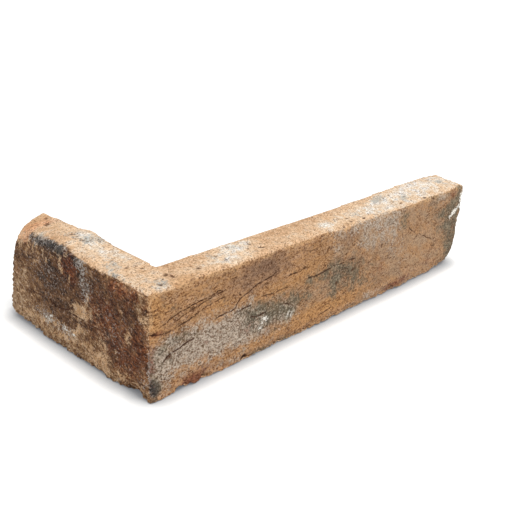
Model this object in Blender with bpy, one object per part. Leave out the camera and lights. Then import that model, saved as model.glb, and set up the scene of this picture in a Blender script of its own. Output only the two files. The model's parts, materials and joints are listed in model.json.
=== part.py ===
"""A corner brick slip: the L-shaped face sawn off the corner of an old handmade brick.

Frame: +X runs along the long stretcher leg, +Y along the short header leg, +Z up.
The origin is at the bottom centre of the bounding box. The two outer faces, both
leg ends and the two beds are the brick's own worn faces. The two inner faces are sawn.
"""

import math

import bmesh
import bpy
from mathutils import Vector, noise

MM = 0.001

LENGTH = 240 * MM  # over the stretcher leg
HEADER = 117 * MM  # over the header leg
HEIGHT = 54 * MM  # at the highest point of the top
STRETCHER_THICK = 21 * MM
HEADER_THICK = 22 * MM

# The saw ran a little past the stretcher's cut and left a shallow groove in the header's.
GROOVE_WIDE = 5 * MM
GROOVE_DEEP = 0.6 * MM

# Each worn arris is a quarter round whose radius changes along it.
ARRIS_ROUND = 2.0 * MM
BED_ARRIS_ROUND = 0.9 * MM
FAR_BED_ARRIS_ROUND = 2.6 * MM
HEADER_END_ROUND_LOW = 4 * MM
HEADER_END_ROUND_HIGH = 14 * MM
TOP_WEAR_ROUND = 5 * MM
BROKEN_CORNER_LONG = 10 * MM
BROKEN_CORNER_DEEP = 6 * MM

# How far the handmade faces fall back from their flat planes.
STRETCHER_BOW = 1.0 * MM
HEADER_BOW = 0.8 * MM
END_BOW = 0.8 * MM
WAVE_LENGTH = 42 * MM

# Heights of the top: it twists along the stretcher and has one hump on the header.
TOP_NEAR_OUTER = HEIGHT - 2.1 * MM
TOP_NEAR_INNER = HEIGHT - 2.0 * MM
TOP_FAR_OUTER = HEIGHT - 3.6 * MM
TOP_FAR_INNER = HEIGHT - 0.6 * MM
TOP_FAR_END = HEIGHT - 2.2 * MM
TOP_HEADER_END = HEIGHT - 2.4 * MM

CLAY_COLOUR = (0.47, 0.25, 0.13, 1.0)
CLAY_ROUGHNESS = 0.95


def clear_scene():
    for item in list(bpy.data.objects):
        bpy.data.objects.remove(item, do_unlink=True)


def smooth(low, high, value):
    """0 below low, 1 above high, and an S-curve between."""
    t = min(1.0, max(0.0, (value - low) / (high - low)))
    return t * t * (3 - 2 * t)


def wave(a, b, seed):
    """A smooth random field between 0 and 1 over two coordinates in metres."""
    value = noise.noise(Vector((a / WAVE_LENGTH, b / WAVE_LENGTH, seed)))
    return min(1.0, max(0.0, 0.5 + value))


def near(value, centre, flat, half_width):
    """1 within flat of the centre, falling to 0 at half_width on both sides."""
    return 1 - smooth(flat, half_width, abs(value - centre))


def top_height(u, v):
    """Height of the top bed at u along the stretcher and v along the header."""
    outer = TOP_NEAR_OUTER + (TOP_FAR_OUTER - TOP_NEAR_OUTER) * smooth(95 * MM, 145 * MM, u)
    inner = TOP_NEAR_INNER + (TOP_FAR_INNER - TOP_NEAR_INNER) * smooth(140 * MM, 205 * MM, u)
    across = smooth(0, 1, min(u / HEADER_THICK, v / STRETCHER_THICK))
    height = outer + (inner - outer) * across
    end = smooth(LENGTH - 22 * MM, LENGTH, u)
    height += (TOP_FAR_END - height) * end * 0.7
    tip = smooth(HEADER - 30 * MM, HEADER, v)
    height += (TOP_HEADER_END - height) * tip
    hump = near(v, 69 * MM, 4 * MM, 14 * MM)
    height += (HEIGHT - height) * hump
    return height - 0.5 * MM * wave(u, v, 3.7) * (1 - hump)


def arris_radii(u, v, z):
    """Radii of the rounding at a point, along u, v and z: small, but larger on the worn corners."""
    low = 1 - smooth(0, 14 * MM, z)
    bed = BED_ARRIS_ROUND + (FAR_BED_ARRIS_ROUND - BED_ARRIS_ROUND) * smooth(90 * MM, 150 * MM, u)
    base = ARRIS_ROUND + (bed - ARRIS_ROUND) * low
    outer_side = 1 - smooth(4 * MM, HEADER_THICK, u)
    worn = near(v, 66 * MM, 0, 24 * MM) * smooth(30 * MM, 48 * MM, z) * outer_side
    base += (TOP_WEAR_ROUND - base) * worn
    tip = smooth(HEADER - 42 * MM, HEADER - 14 * MM, v)
    high = smooth(18 * MM, 46 * MM, z)
    end_round = HEADER_END_ROUND_LOW + (HEADER_END_ROUND_HIGH - HEADER_END_ROUND_LOW) * high
    base += (end_round - base) * tip * (0.12 + 0.88 * outer_side)
    broken = smooth(LENGTH - 32 * MM, LENGTH - 10 * MM, u) * (1 - smooth(5 * MM, 20 * MM, z))
    long = base + (BROKEN_CORNER_LONG - base) * broken * (1 - 0.5 * smooth(0, STRETCHER_THICK, v))
    deep = base + (BROKEN_CORNER_DEEP - base) * broken
    return long, deep, long


def rounded(u, v, z):
    """Moves a point on the sharp L to the same point on the L with rounded outer arrises."""
    along, across, up = arris_radii(u, v, z)
    radii = (along, along, across, across, up, up)
    depths = (u, LENGTH - u, v, HEADER - v, z, HEIGHT - z)
    parts = [max(0.0, 1 - depth / radius) for depth, radius in zip(depths, radii)]
    length = math.sqrt(sum(part * part for part in parts))
    if length <= 0:
        return u, v, z
    shrink = max(parts) / length
    moved = [part * (1 - shrink) * radius for part, radius in zip(parts, radii)]
    return u + moved[0] - moved[1], v + moved[2] - moved[3], z + moved[4] - moved[5]


def bow(a, b, seed):
    """0 to 1, and exactly 0 over part of the face, so that the overall sizes stay as written."""
    return max(0.0, wave(a, b, seed) * 1.6 - 0.6)


def handmade(u, v, z):
    """Bows the worn faces inwards and sets the top's height. The sawn faces and the bed stay flat."""
    lip = near(u, 10 * MM, 5 * MM, 14 * MM) * (1 - smooth(3 * MM, 10 * MM, z))
    flare = smooth(15 * MM, 40 * MM, v) * (1 - smooth(8 * MM, 30 * MM, z))
    stretcher_bow = STRETCHER_BOW * (0.4 + 0.6 * wave(u, z, 0.4)) * (1 - lip)
    header_bow = HEADER_BOW * (0.7 + 0.5 * bow(v, z, 5.3)) * (1 - flare)
    end_bow = END_BOW * bow(v * 2, z * 2, 8.1)
    tip_bow = END_BOW * bow(u * 2, z * 2, 2.6)
    across = max(0.0, 1 - v / STRETCHER_THICK)
    deep = max(0.0, 1 - u / (HEADER_THICK - GROOVE_DEEP))
    new_u = u + header_bow * deep
    new_u -= end_bow * max(0.0, 1 - (LENGTH - u) / (20 * MM))
    new_v = v + stretcher_bow * across
    new_v -= tip_bow * max(0.0, 1 - (HEADER - v) / (20 * MM))
    return new_u, new_v, z * top_height(u, v) / HEIGHT


def outline():
    """The sharp L in plan, anticlockwise from its outer corner."""
    groove_floor = HEADER_THICK - GROOVE_DEEP
    return [
        (0, 0),
        (LENGTH, 0),
        (LENGTH, STRETCHER_THICK),
        (groove_floor, STRETCHER_THICK),
        (groove_floor, STRETCHER_THICK + GROOVE_WIDE),
        (HEADER_THICK, STRETCHER_THICK + GROOVE_WIDE),
        (HEADER_THICK, HEADER),
        (0, HEADER),
    ]


def sharp_prism(mesh):
    floor = [mesh.verts.new((x, y, 0)) for x, y in outline()]
    bottom = mesh.faces.new(list(reversed(floor)))
    raised = bmesh.ops.extrude_face_region(mesh, geom=[bottom], use_keep_orig=True)
    lifted = [item for item in raised["geom"] if isinstance(item, bmesh.types.BMVert)]
    bmesh.ops.translate(mesh, verts=lifted, vec=(0, 0, HEIGHT))
    bmesh.ops.recalc_face_normals(mesh, faces=mesh.faces)


def stations(total, fine_start, fine_end, step):
    """Cuts close together by the arrises and further apart between them."""
    edge = [0.7 * MM, 1.7 * MM, 3.6 * MM, 7 * MM]
    cuts = list(edge) if fine_start else []
    start = edge[-1] if fine_start else 0
    stop = total - edge[-1] if fine_end else total
    count = max(1, round((stop - start) / step))
    cuts += [start + (stop - start) * i / count for i in range(1, count)]
    if fine_end:
        cuts += [total - cut for cut in reversed(edge)]
    return cuts


def cut_grid(mesh):
    """Cuts the prism at the stations on all three axes, so that its faces can bend."""
    for axis, total, step in ((0, LENGTH, 11 * MM), (1, HEADER, 10 * MM), (2, HEIGHT, 8 * MM)):
        normal = Vector((0, 0, 0))
        normal[axis] = 1
        for cut in stations(total, True, True, step):
            everything = mesh.verts[:] + mesh.edges[:] + mesh.faces[:]
            bmesh.ops.bisect_plane(mesh, geom=everything, plane_co=normal * cut, plane_no=normal)


def slip_mesh():
    mesh = bmesh.new()
    sharp_prism(mesh)
    cut_grid(mesh)
    for vertex in mesh.verts:
        point = rounded(*vertex.co)
        u, v, z = handmade(*point)
        vertex.co = (u - LENGTH / 2, v - HEADER / 2, z)
    bmesh.ops.triangulate(mesh, faces=mesh.faces)
    data = bpy.data.meshes.new("corner_slip")
    mesh.to_mesh(data)
    mesh.free()
    return data


# Chips along the arrises: centre from the outer corner in metres, half sizes in mm and turn in degrees.
CHIPS = {
    "chip_front_low": ((18 * MM, -0.4 * MM, 0), (4.0, 4.2, 2.8), (0, 8, 0)),
    "chip_header_low": ((-0.4 * MM, 12.5 * MM, 0), (4.6, 7.5, 3.4), (0, 0, 6)),
    "chip_front_top": ((139 * MM, -0.6 * MM, HEIGHT - 2.4 * MM), (8.5, 3.2, 3.0), (0, 0, 4)),
    "chip_end_top": ((LENGTH + 0.4 * MM, 10.5 * MM, HEIGHT - 1 * MM), (3.6, 4.6, 3.0), (0, 0, 12)),
    "chip_header_top": ((-0.4 * MM, 47 * MM, HEIGHT - 1 * MM), (3.0, 5.4, 3.0), (0, 0, -8)),
    "chip_far_low": ((172 * MM, -0.8 * MM, 0), (10.0, 2.8, 2.8), (0, -4, 0)),
}


def chip_cutter(name, centre, half_sizes, turn):
    """A squashed low-poly ball that takes one chip out of an arris."""
    mesh = bmesh.new()
    bmesh.ops.create_icosphere(mesh, subdivisions=2, radius=1)
    for vertex in mesh.verts:
        vertex.co *= 1 + 0.22 * noise.noise(vertex.co * 1.7 + Vector(centre) * 90)
    data = bpy.data.meshes.new(name)
    mesh.to_mesh(data)
    mesh.free()
    cutter = bpy.data.objects.new(name, data)
    cutter.location = Vector(centre) - Vector((LENGTH / 2, HEADER / 2, 0))
    cutter.scale = [side * MM for side in half_sizes]
    cutter.rotation_euler = [math.radians(angle) for angle in turn]
    cutter.hide_render = True
    cutter.display_type = "WIRE"
    bpy.context.scene.collection.objects.link(cutter)
    return cutter


def clay():
    material = bpy.data.materials.new("fired_clay")
    material.use_nodes = True
    shader = material.node_tree.nodes["Principled BSDF"]
    shader.inputs["Base Color"].default_value = CLAY_COLOUR
    shader.inputs["Roughness"].default_value = CLAY_ROUGHNESS
    return material


def main():
    clear_scene()
    slip = bpy.data.objects.new("corner_slip", slip_mesh())
    slip.data.materials.append(clay())
    bpy.context.scene.collection.objects.link(slip)
    for name, (centre, half_sizes, turn) in CHIPS.items():
        cut = slip.modifiers.new(name, "BOOLEAN")
        cut.operation = "DIFFERENCE"
        cut.solver = "EXACT"
        cut.object = chip_cutter(name, centre, half_sizes, turn)


main()
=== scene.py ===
"""Looks of the corner brick slip: worn and sawn faces of fired clay, a white floor, light and a camera.

Places on the slip are in millimetres from its sharp outer corner: u along the long stretcher
leg, v along the short header leg and z up from the bed that it stands on.
"""

import json
import math

import bpy
import numpy as np
from mathutils import Matrix, Vector, noise


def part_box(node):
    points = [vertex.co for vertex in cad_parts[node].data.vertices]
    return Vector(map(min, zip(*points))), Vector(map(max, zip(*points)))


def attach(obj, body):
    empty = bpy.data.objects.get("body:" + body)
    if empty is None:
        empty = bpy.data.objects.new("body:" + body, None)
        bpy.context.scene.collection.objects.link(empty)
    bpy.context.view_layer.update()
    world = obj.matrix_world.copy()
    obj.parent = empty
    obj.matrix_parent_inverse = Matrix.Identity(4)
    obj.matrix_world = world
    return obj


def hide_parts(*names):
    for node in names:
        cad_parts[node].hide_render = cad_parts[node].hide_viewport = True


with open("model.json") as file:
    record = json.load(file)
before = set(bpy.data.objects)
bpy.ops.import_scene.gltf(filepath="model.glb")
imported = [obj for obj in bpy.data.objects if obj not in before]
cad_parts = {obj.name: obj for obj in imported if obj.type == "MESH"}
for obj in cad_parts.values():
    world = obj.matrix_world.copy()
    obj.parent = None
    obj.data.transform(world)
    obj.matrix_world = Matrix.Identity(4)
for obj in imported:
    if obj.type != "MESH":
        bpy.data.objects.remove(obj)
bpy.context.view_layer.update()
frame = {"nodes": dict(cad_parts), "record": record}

MM = 0.001
NODE = "corner_slip"
LOW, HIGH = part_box(NODE)
LENGTH, HEADER, _ = (HIGH - LOW) / MM
MOUNTS = {mount["name"]: Vector(mount["pos_m"]) for mount in frame["record"]["mounts"]}
STRETCHER_THICK = (MOUNTS["stretcher_back"].y - LOW.y) / MM
HEADER_THICK = (MOUNTS["header_back"].x - LOW.x) / MM

VOXEL = 0.5  # mm between the vertices of the mesh that takes the relief
MOST_TRIANGLES = 192000  # of the finished piece
ROUNDING_STEPS = 42  # how often the mesh is softened to round its arrises

# Which vertices a face may own, in mm.
FACE_REACH = 12  # in from the outside, for the two outer faces
END_REACH = 20  # from a leg's end, for the end faces and the broken corner
SAWN_REACH = 8  # past a leg's thickness, for its sawn face
SAWN_LAP = 2  # and how far that starts inside the other leg

# Depths of the relief, in mm.
LUMP_DEEP = 0.32
GRAIN_DEEP = 0.16
FIBRE_DEEP = 0.5
DRAG_DEEP = 0.3
CRACK_DEEP = 0.9
PIT_DEEP = 0.8
CRUMBLE_DEEP = 1.5
FOOT_DEEP = 0.7
PORE_DEEP = 0.6
SAWN_DEEP = 0.02
MORTAR_DEEP = 0.4

# Sizes of the relief, in mm.
ARRIS_LUMP = 8  # how the rounding of the arrises comes and goes
SAW_CRISP = 3.5  # near a saw cut they are rounded less
BED_CRISP = 3.0  # and near the bed
LUMP_WIDE = 13
GRAIN_WIDE = 1.7
FOOT_WIDE = 2.2
SAWN_WIDE = 3
CRUMB_WIDE = 4.5
FOOT_CRUMB_WIDE = 2.6
PIT_APART = 5.0
PIT_RADIUS = 1.0
PORE_APART = 4.6
PORE_RADIUS = 1.2
HOLLOW_SHARE = 0.45  # of the cells that hold a small pit or a pore
DRAG_LONG = 9
FIBRE_LONG = 4.5
STROKE_WIDE = 1.5  # across a drag line, and across a fibre
STROKE_DEEP = 4  # and into the clay
DRAG_FLOCK = 14  # how the drag lines come and go
PORE_FLOCK = 18  # and the pores
RAGGED_WIDE = 5  # lumps in the outlines of the listed ovals
RAGGED = 0.45  # how far they move an outline, in half sizes of its oval
WANDER_WIDE = 3  # lumps that push a crack off its straight line
WANDER = 0.35
BREAKS_WIDE = 2.5  # how a crack's depth comes and goes
FAR_ACROSS = 9.0  # in half widths, where no crack is near

# Heights in mm where the foot begins to be rougher than the rest, and where it is roughest.
ROUGH_START = 16  # on the header only
ROUGH_FULL = 3
FOOT_START = 5
FOOT_FULL = 1

DRAG_SLOPE = math.radians(7)  # of the lines that the mould dragged along the stretcher
SMEAR_SLOPE = math.radians(-32)  # of the soft smears toward its far end
FIBRE_SLOPE = math.radians(-28)  # of the strokes on the header

# The camera, as it stood for the photograph.
CAMERA_PLACE = Vector((-0.29193, -0.28766, 0.1886))
CAMERA_YAW = math.radians(46.07)
CAMERA_PITCH = math.radians(23.07)
CAMERA_ROLL = math.radians(2.09)
CAMERA_LENS = 53.94

# Light: a wide sun from above and a little in front, and an even white sky.
SUN_FROM = Vector((0.02, -0.42, 0.90))
SUN_WIDE = math.radians(26)
SUN_STRENGTH = 2.0
SUN_COLOUR = (1.0, 0.975, 0.93)
SKY_STRENGTH = 0.5
SKY_COLOUR = (0.965, 0.98, 0.99)
FLOOR_COLOUR = (0.9, 0.9, 0.9, 1)
FLOOR_SHOWN = 0.7  # the lit floor as the camera sees it, with the shadow in it
FLOOR_GLOW = 0.5  # what the camera sees on top of that, so that the floor is plain white
FLOOR_SIDE = 60.0
CONTACT_REACH = 9 * MM  # how far the shade at the foot of the slip reaches
CONTACT_DEPTH = 1.7
CONTACT_SHADE = (0.2, 0.215, 0.24, 1)


def smooth(low, high, value):
    """0 below low, 1 above high, and an S-curve between. It works on whole arrays."""
    t = np.clip((value - low) / (high - low), 0, 1)
    return t * t * (3 - 2 * t)


def turned(first, second, angle):
    """Two coordinates of a face turned by an angle: along the slanted line, and across it."""
    along = first * math.cos(angle) + second * math.sin(angle)
    across = second * math.cos(angle) - first * math.sin(angle)
    return along, across


def added(name, data):
    """A new object in the scene."""
    made = bpy.data.objects.new(name, data)
    bpy.context.scene.collection.objects.link(made)
    return made


# Worn mesh


def applied(piece, kind, **settings):
    """Puts one modifier on the piece and makes its result the piece's own mesh."""
    modifier = piece.modifiers.new(kind.lower(), kind)
    for name, value in settings.items():
        setattr(modifier, name, value)
    graph = bpy.context.evaluated_depsgraph_get()
    mesh = bpy.data.meshes.new_from_object(piece.evaluated_get(graph))
    piece.modifiers.clear()
    piece.data = mesh
    mesh.name = piece.name


def even_copy(name, node, voxel):
    """A copy of a CAD node with an even fine mesh, for the relief to move."""
    piece = added(name, node.data.copy())
    piece.data.materials.clear()
    applied(piece, "REMESH", mode="VOXEL", voxel_size=voxel * MM, use_smooth_shade=True)
    return piece


def thin_out(piece, most):
    """Joins small triangles where the surface is flat, until the piece has at most this many."""
    piece.data.calc_loop_triangles()
    count = len(piece.data.loop_triangles)
    applied(piece, "DECIMATE", ratio=min(1, most / count))


def read_vectors(items, name):
    values = np.empty(len(items) * 3, np.float32)
    items.foreach_get(name, values)
    return values.reshape(-1, 3).astype(float)


def write_places(mesh, places):
    """Moves the vertices to these places, given in mm from the outer corner."""
    mesh.vertices.foreach_set("co", (places * MM + np.array(LOW)).ravel().astype(np.float32))
    mesh.update()


def lumps(places, size, octaves=3, seed=0):
    """Smooth random values, mostly between -0.7 and 0.7, with lumps of the given size in mm."""
    shifted = places / size + seed * np.array((17.31, 5.17, 9.73))
    values = [noise.fractal(place, 1.0, 2.0, octaves) for place in shifted.tolist()]
    return np.array(values)


def hollows(places, spacing, radius, seed=0):
    """Round pits, 1 at the middle and 0 outside, in a share of the cells of a random pattern."""
    depths = []
    for place in (places / spacing + seed * 3.7).tolist():
        distances, centres = noise.voronoi(place)
        chance = (noise.cell(centres[0] * 9.7) + 1) / 2
        kept = chance < HOLLOW_SHARE
        own_radius = radius * (0.5 + 0.5 * chance / HOLLOW_SHARE) if kept else 0
        far = distances[0] * spacing
        depths.append(1 - (far / own_radius) ** 2 if far < own_radius else 0)
    return np.array(depths)


def softened(mesh, places, steps):
    """The places after each has moved to the middle of its neighbours, again and again."""
    ends = np.empty(len(mesh.edges) * 2, np.int32)
    mesh.edges.foreach_get("vertices", ends)
    first, second = ends.reshape(-1, 2).T
    count = len(places)
    neighbours = np.bincount(ends, minlength=count)
    for _ in range(steps):
        axes = []
        for values in places.T:
            total = np.bincount(first, values[second], count) + np.bincount(second, values[first], count)
            axes.append(total / neighbours)
        places = np.stack(axes, axis=1)
    return places


def crack_runs(lines_by_face):
    """The straight runs of every crack: face, half width, strength, start and end."""
    for face, lines in lines_by_face.items():
        for wide, deep, points in lines:
            for start, end in zip(points, points[1:]):
                yield face, wide, deep, start, end


class Surface:
    """The mesh as arrays: places in mm, and each face's own two coordinates and share of every vertex."""

    def __init__(self, mesh):
        self.places = (read_vectors(mesh.vertices, "co") - np.array(LOW)) / MM
        self.normals = read_vectors(mesh.vertex_normals, "vector")
        u, v, z = self.u, self.v, self.z = self.places.T
        toward_x, toward_y, toward_z = self.normals.T
        behind_long = (v < STRETCHER_THICK + SAWN_REACH) & (u > HEADER_THICK - SAWN_LAP)
        behind_short = (u < HEADER_THICK + SAWN_REACH) & (v > STRETCHER_THICK - SAWN_LAP)
        self.faces = {
            "stretcher": (u, z, smooth(0.3, 0.8, -toward_y) * (v < FACE_REACH)),
            "header": (v, z, smooth(0.3, 0.8, -toward_x) * (u < FACE_REACH)),
            "top": (u, v, smooth(0.25, 0.85, toward_z)),
            "corner": (u, v, smooth(0.2, 0.45, toward_z) * (v > HEADER - END_REACH)),
            "bed": (u, v, smooth(0.4, 0.85, -toward_z)),
            "far_end": (v, z, smooth(0.35, 0.75, toward_x) * (u > LENGTH - END_REACH)),
            "header_end": (u, z, smooth(0.35, 0.75, toward_y) * (v > HEADER - END_REACH)),
            "sawn_long": (u, z, smooth(0.35, 0.75, toward_y) * behind_long),
            "sawn_short": (v, z, smooth(0.35, 0.75, toward_x) * behind_short),
        }
        self.weights = {face: weight for face, (_, _, weight) in self.faces.items()}
        self.sawn = np.clip(self.weights["sawn_long"] + self.weights["sawn_short"], 0, 1)
        self.worn = 1 - self.sawn

    def saw_gap(self):
        """How far each vertex is from the two sawn planes, in mm."""
        from_long = np.abs(self.v - STRETCHER_THICK) + np.clip(HEADER_THICK - self.u, 0, None)
        from_short = np.abs(self.u - HEADER_THICK) + np.clip(STRETCHER_THICK - self.v, 0, None)
        return np.minimum(from_long, from_short)

    def patches(self, ovals_by_face, ragged):
        """One mask, 0 to 1, from listed soft ovals: half strength on the rim, gone well outside."""
        clear = np.ones(len(self.u))
        for face, ovals in ovals_by_face.items():
            first, second, weight = self.faces[face]
            for a, b, half_a, half_b, turn, strength in ovals:
                along, across = turned(first - a, second - b, math.radians(turn))
                reach = np.clip(np.hypot(along / half_a, across / half_b) + ragged, 0, None)
                clear *= 1 - np.exp2(-reach ** 2) * strength * weight
        return 1 - clear

    def cracks(self, lines_by_face, wander):
        """Listed lines, as three values for each vertex: groove, across and plain.

        Groove is 1 in the middle of a line and 0 past its edges. Across runs from -1 to 1 over a line's
        width, so that the material can draw the line as painted shade, finer than the mesh is. Plain is
        the strength of a line nearby, or 0, and sets how dark that painted shade is.
        """
        groove = np.zeros(len(self.u))
        across = np.full(len(self.u), FAR_ACROSS)
        plain = np.zeros(len(self.u))
        nearest = np.full(len(self.u), np.inf)
        for face, wide, deep, start, end in crack_runs(lines_by_face):
            first, second, weight = self.faces[face]
            run_a, run_b = np.subtract(end, start)
            run = math.hypot(run_a, run_b)
            from_a = first - start[0]
            from_b = second - start[1] + wander
            along = (from_a * run_a + from_b * run_b) / run
            side = (from_b * run_a - from_a * run_b) / run
            past = np.maximum(0, np.maximum(-along, along - run))
            gap = np.hypot(side, past)
            nearer = (gap < nearest) & (weight > 0)
            nearest = np.where(nearer, gap, nearest)
            across = np.where(nearer, np.copysign(gap, side) / wide, across)
            here = deep * weight * smooth(1.0, 0.0, past)
            plain = np.where(nearer, here * smooth(2.6, 1.4, gap), plain)
            groove = np.maximum(groove, np.clip(1.25 - gap / wide, 0, 1) * here)
        return groove, np.clip(across, -FAR_ACROSS, FAR_ACROSS), plain


def round_arrises(mesh):
    """Rounds the arrises unevenly, less by the saw cuts and the bed. Gives each vertex's shift in mm."""
    surface = Surface(mesh)
    uneven = np.clip(0.8 + 0.9 * lumps(surface.places, ARRIS_LUMP, 2, seed=13), 0.3, 1.35)
    beside_saw = smooth(0.4, SAW_CRISP, surface.saw_gap())
    on_bed = smooth(BED_CRISP, 0.5, surface.z)
    amount = uneven * (0.2 + 0.8 * beside_saw) * (1 - 0.65 * on_bed)
    shift = (softened(mesh, surface.places, ROUNDING_STEPS) - surface.places) * amount[:, None]
    write_places(mesh, surface.places + shift)
    return np.linalg.norm(shift, axis=1)


# Ovals, by face: middle and half size in mm, turn in degrees, strength.

# Pale lime.
LIME = {
    "stretcher": [
        (27, 19.5, 15, 7.5, 6, 0.9), (13, 22, 10, 5, 6, 0.6), (76, 17, 12, 7, -4, 0.4),
        (46, 20, 16, 8.5, 2, 0.92), (60, 17, 9, 7, 0, 0.8), (8, 17, 6, 8, 0, 0.85),
        (36, 14, 24, 4, 0, 0.4), (69.5, 17.5, 3.2, 2.2, -20, 1), (66.5, 14, 3, 2.2, 0, 0.9),
        (62.5, 18, 2, 2, 0, 0.8), (82, 20, 2, 3, 0, 0.5), (87.5, 14, 2.8, 2.6, 0, 0.85),
        (45, 3, 26, 2.2, 1, 0.3), (84, 13, 10, 4, 0, 0.35), (147, 38, 9, 5.5, -25, 0.6),
        (166, 42.5, 9, 7, 0, 0.5), (136, 48, 18, 3.5, 0, 0.42), (121, 41, 4, 10, 0, 0.35),
        (158, 48, 16, 4, 0, 0.5), (172, 3, 48, 4.5, 1, 0.4), (3, 6, 3, 5, 0, 0.45),
        (3, 15, 2.6, 6, 0, 0.6), (216, 47.5, 7, 3, -4, 0.6), (178, 25, 14, 5, -30, 0.25),
        (172, 30, 14, 8, -35, 0.3), (150, 2.5, 5, 2.5, 0, 0.5),
    ],
    "header": [
        (80, 12.5, 8, 3.2, -4, 0.55), (62, 11, 6, 2.4, -8, 0.5), (47, 46, 2.8, 7, 0, 0.58),
        (44, 38, 3, 6, 20, 0.35), (25, 25, 11, 4, 61, 0.2), (90, 51, 5, 3, -4, 0.9),
        (80, 52.5, 4, 2.6, 0, 0.9), (70, 52, 5, 2.4, 0, 0.85), (52, 50, 3, 3, 0, 0.6),
        (3, 8, 2.5, 5, 0, 0.3), (80, 34, 14, 8, 0, 0.16),
    ],
    "top": [(2.5, 84, 3, 7, 0, 0.7), (1.5, 68, 2, 8, 0, 0.5)],
    "far_end": [(8, 40, 8, 8, 30, 0.8), (14, 16, 6, 8, 0, 0.5)],
    "header_end": [(10, 30, 7, 14, 10, 0.7)],
    "bed": [(60, 10, 40, 8, 2, 0.6), (180, 8, 34, 7, -3, 0.7), (10, 70, 9, 26, 0, 0.6)],
}

# Where the header's fired skin is darkest. It laps a little onto the faces beside it.
CHAR = {
    "header": [
        (72, 35, 19, 16, 0, 1), (25, 30, 26, 20, 0, 0.62), (58, 47, 12, 7, 0, 0.9),
        (14, 16, 14, 11, 0, 0.5), (66, 18, 12, 5, 0, 0.45), (16, 40, 12, 6, 0, 0.5),
        (12, 20, 12, 12, 0, 0.2), (42, 40, 8, 8, 0, 0.4), (88, 47, 9, 5, 0, 0.4),
        (115, 27, 3.5, 7, 0, 0.5), (107, 37, 7, 4, 0, 0.5),
    ],
    "top": [(0, 66, 3.4, 10, 0, 1), (0.5, 82, 4, 6, 0, 0.7)],
    "stretcher": [(2, 5, 3, 6, 0, 0.7)],
    "header_end": [(4, 28, 5, 24, 0, 0.7)],
    "bed": [(3, 60, 5, 50, 0, 0.7)],
}

# Parts of the stretcher where soft smears calm the grain.
SMEARED = {
    "stretcher": [
        (200, 26, 34, 26, 0, 0.9), (152, 38, 16, 9, 0, 0.7), (178, 46, 26, 8, 0, 0.5),
        (174, 14, 16, 8, 0, 0.5), (106, 20, 14, 8, 0, 0.7), (122, 36, 6, 12, 0, 0.6),
    ],
}

# Red-brown and purple-brown parts of the fired skin, and the pink of the broken corner.
RUDDY = {
    "header": [
        (60, 46, 7, 6, 0, 1), (56, 40, 5, 5, 0, 0.5), (16, 47.5, 10, 3.2, 0, 0.6),
        (15, 15, 14, 9, 0, 0.45), (32, 30, 14, 11, 0, 0.5), (18, 26, 14, 18, 0, 0.25),
        (107, 29, 3, 6, 0, 0.3), (97, 48, 5, 4, -30, 0.4), (5, 29, 5, 9, 0, 0.4),
        (113, 47, 4, 5, 0, 0.5),
    ],
    "corner": [(10, 102, 10, 7, 0, 0.75)],
}

# Black or grey-green stains.
SOOT = {
    "stretcher": [
        (62, 23, 8, 4, -14, 0.85), (73, 21, 8, 5, -8, 0.9), (72, 14, 12, 5, 0, 0.5),
        (86, 19, 7, 5, -15, 0.7), (95, 20, 10, 5, 0, 0.45), (4, 6, 3.4, 6.5, 0, 1),
        (130, 25, 15, 6.5, -6, 0.66), (138, 16, 15, 6, -10, 0.46), (121, 22, 4.5, 9, 0, 0.6),
        (108, 28.6, 9, 2, 4, 0.6), (115, 31, 5, 3, 30, 0.45), (134, 24, 4, 1.6, 4, 0.7),
        (179, 42, 3.5, 8, 0, 0.55), (222, 35, 7, 6, -45, 0.7), (230, 18, 6, 13, 6, 0.8),
        (235, 8, 5, 7, 0, 0.85), (235, 42, 6, 10, 0, 0.75), (228, 31, 8, 8, 0, 0.65),
        (238, 22, 3, 12, 0, 0.5), (210, 40, 6, 8, 0, 0.3), (206, 48, 4, 2, 0, 0.4),
        (20, 26, 9, 3.5, 6, 0.4), (14, 18, 4, 2, 20, 0.45), (8, 23, 5, 2.4, 12, 0.5),
        (12, 42, 4, 6, 0, 0.25), (75, 1, 22, 1.6, 0, 0.6),
    ],
    "header": [
        (30, 19, 2.4, 4, 0, 0.6), (85, 50.5, 8, 2.4, -3, 0.8), (95, 51, 3, 2, -20, 0.9),
        (75, 51, 4, 2.4, 0, 0.8), (66, 50.5, 4, 2.6, 0, 0.9), (54, 50.5, 5, 2.6, 0, 0.7),
    ],
    "top": [(1.5, 88, 3, 6, 0, 0.45), (1, 71, 2, 5, 0, 0.6)],
    "far_end": [(6, 14, 8, 12, 0, 0.8), (16, 44, 6, 7, 0, 0.5)],
    "header_end": [(14, 12, 8, 9, 0, 0.6)],
    "bed": [(120, 8, 26, 9, 3, 0.6)],
}

# Red clay that shows through, and where pores crowd the sawn faces.
RUST = {
    "stretcher": [
        (24, 2.6, 6, 2.6, 2, 1), (26, 1.6, 4, 1.6, 2, 0.8), (5, 32, 4, 1.4, 0, 0.7),
        (2.5, 20, 1.8, 10, 0, 0.6), (58.5, 16, 1.6, 3, -20, 0.5), (32, 18.5, 1.8, 1.2, 0, 0.5),
        (30, 6, 8, 2.5, 0, 0.3), (173, 3.5, 9, 2.4, 2, 0.7), (184, 5, 9, 3, 0, 0.4),
        (159, 19.5, 5, 3, 0, 0.45), (205, 9, 12, 5, 0, 0.25), (227.5, 46.5, 3, 3, 0, 0.6),
        (235, 27, 4, 4, 0, 0.3),
    ],
    "top": [(20, 9.5, 3, 2, 20, 0.5)],
    "far_end": [(12, 30, 6, 8, 0, 0.6)],
    "header_end": [(14, 44, 6, 6, 0, 0.6)],
    "sawn_long": [(40, 20, 12, 9, 0, 0.7), (132, 30, 9, 20, 0, 0.5), (205, 22, 16, 16, 0, 0.6)],
    "sawn_short": [(50, 14, 14, 9, 0, 0.7), (96, 34, 10, 16, 0, 0.5)],
}

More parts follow.
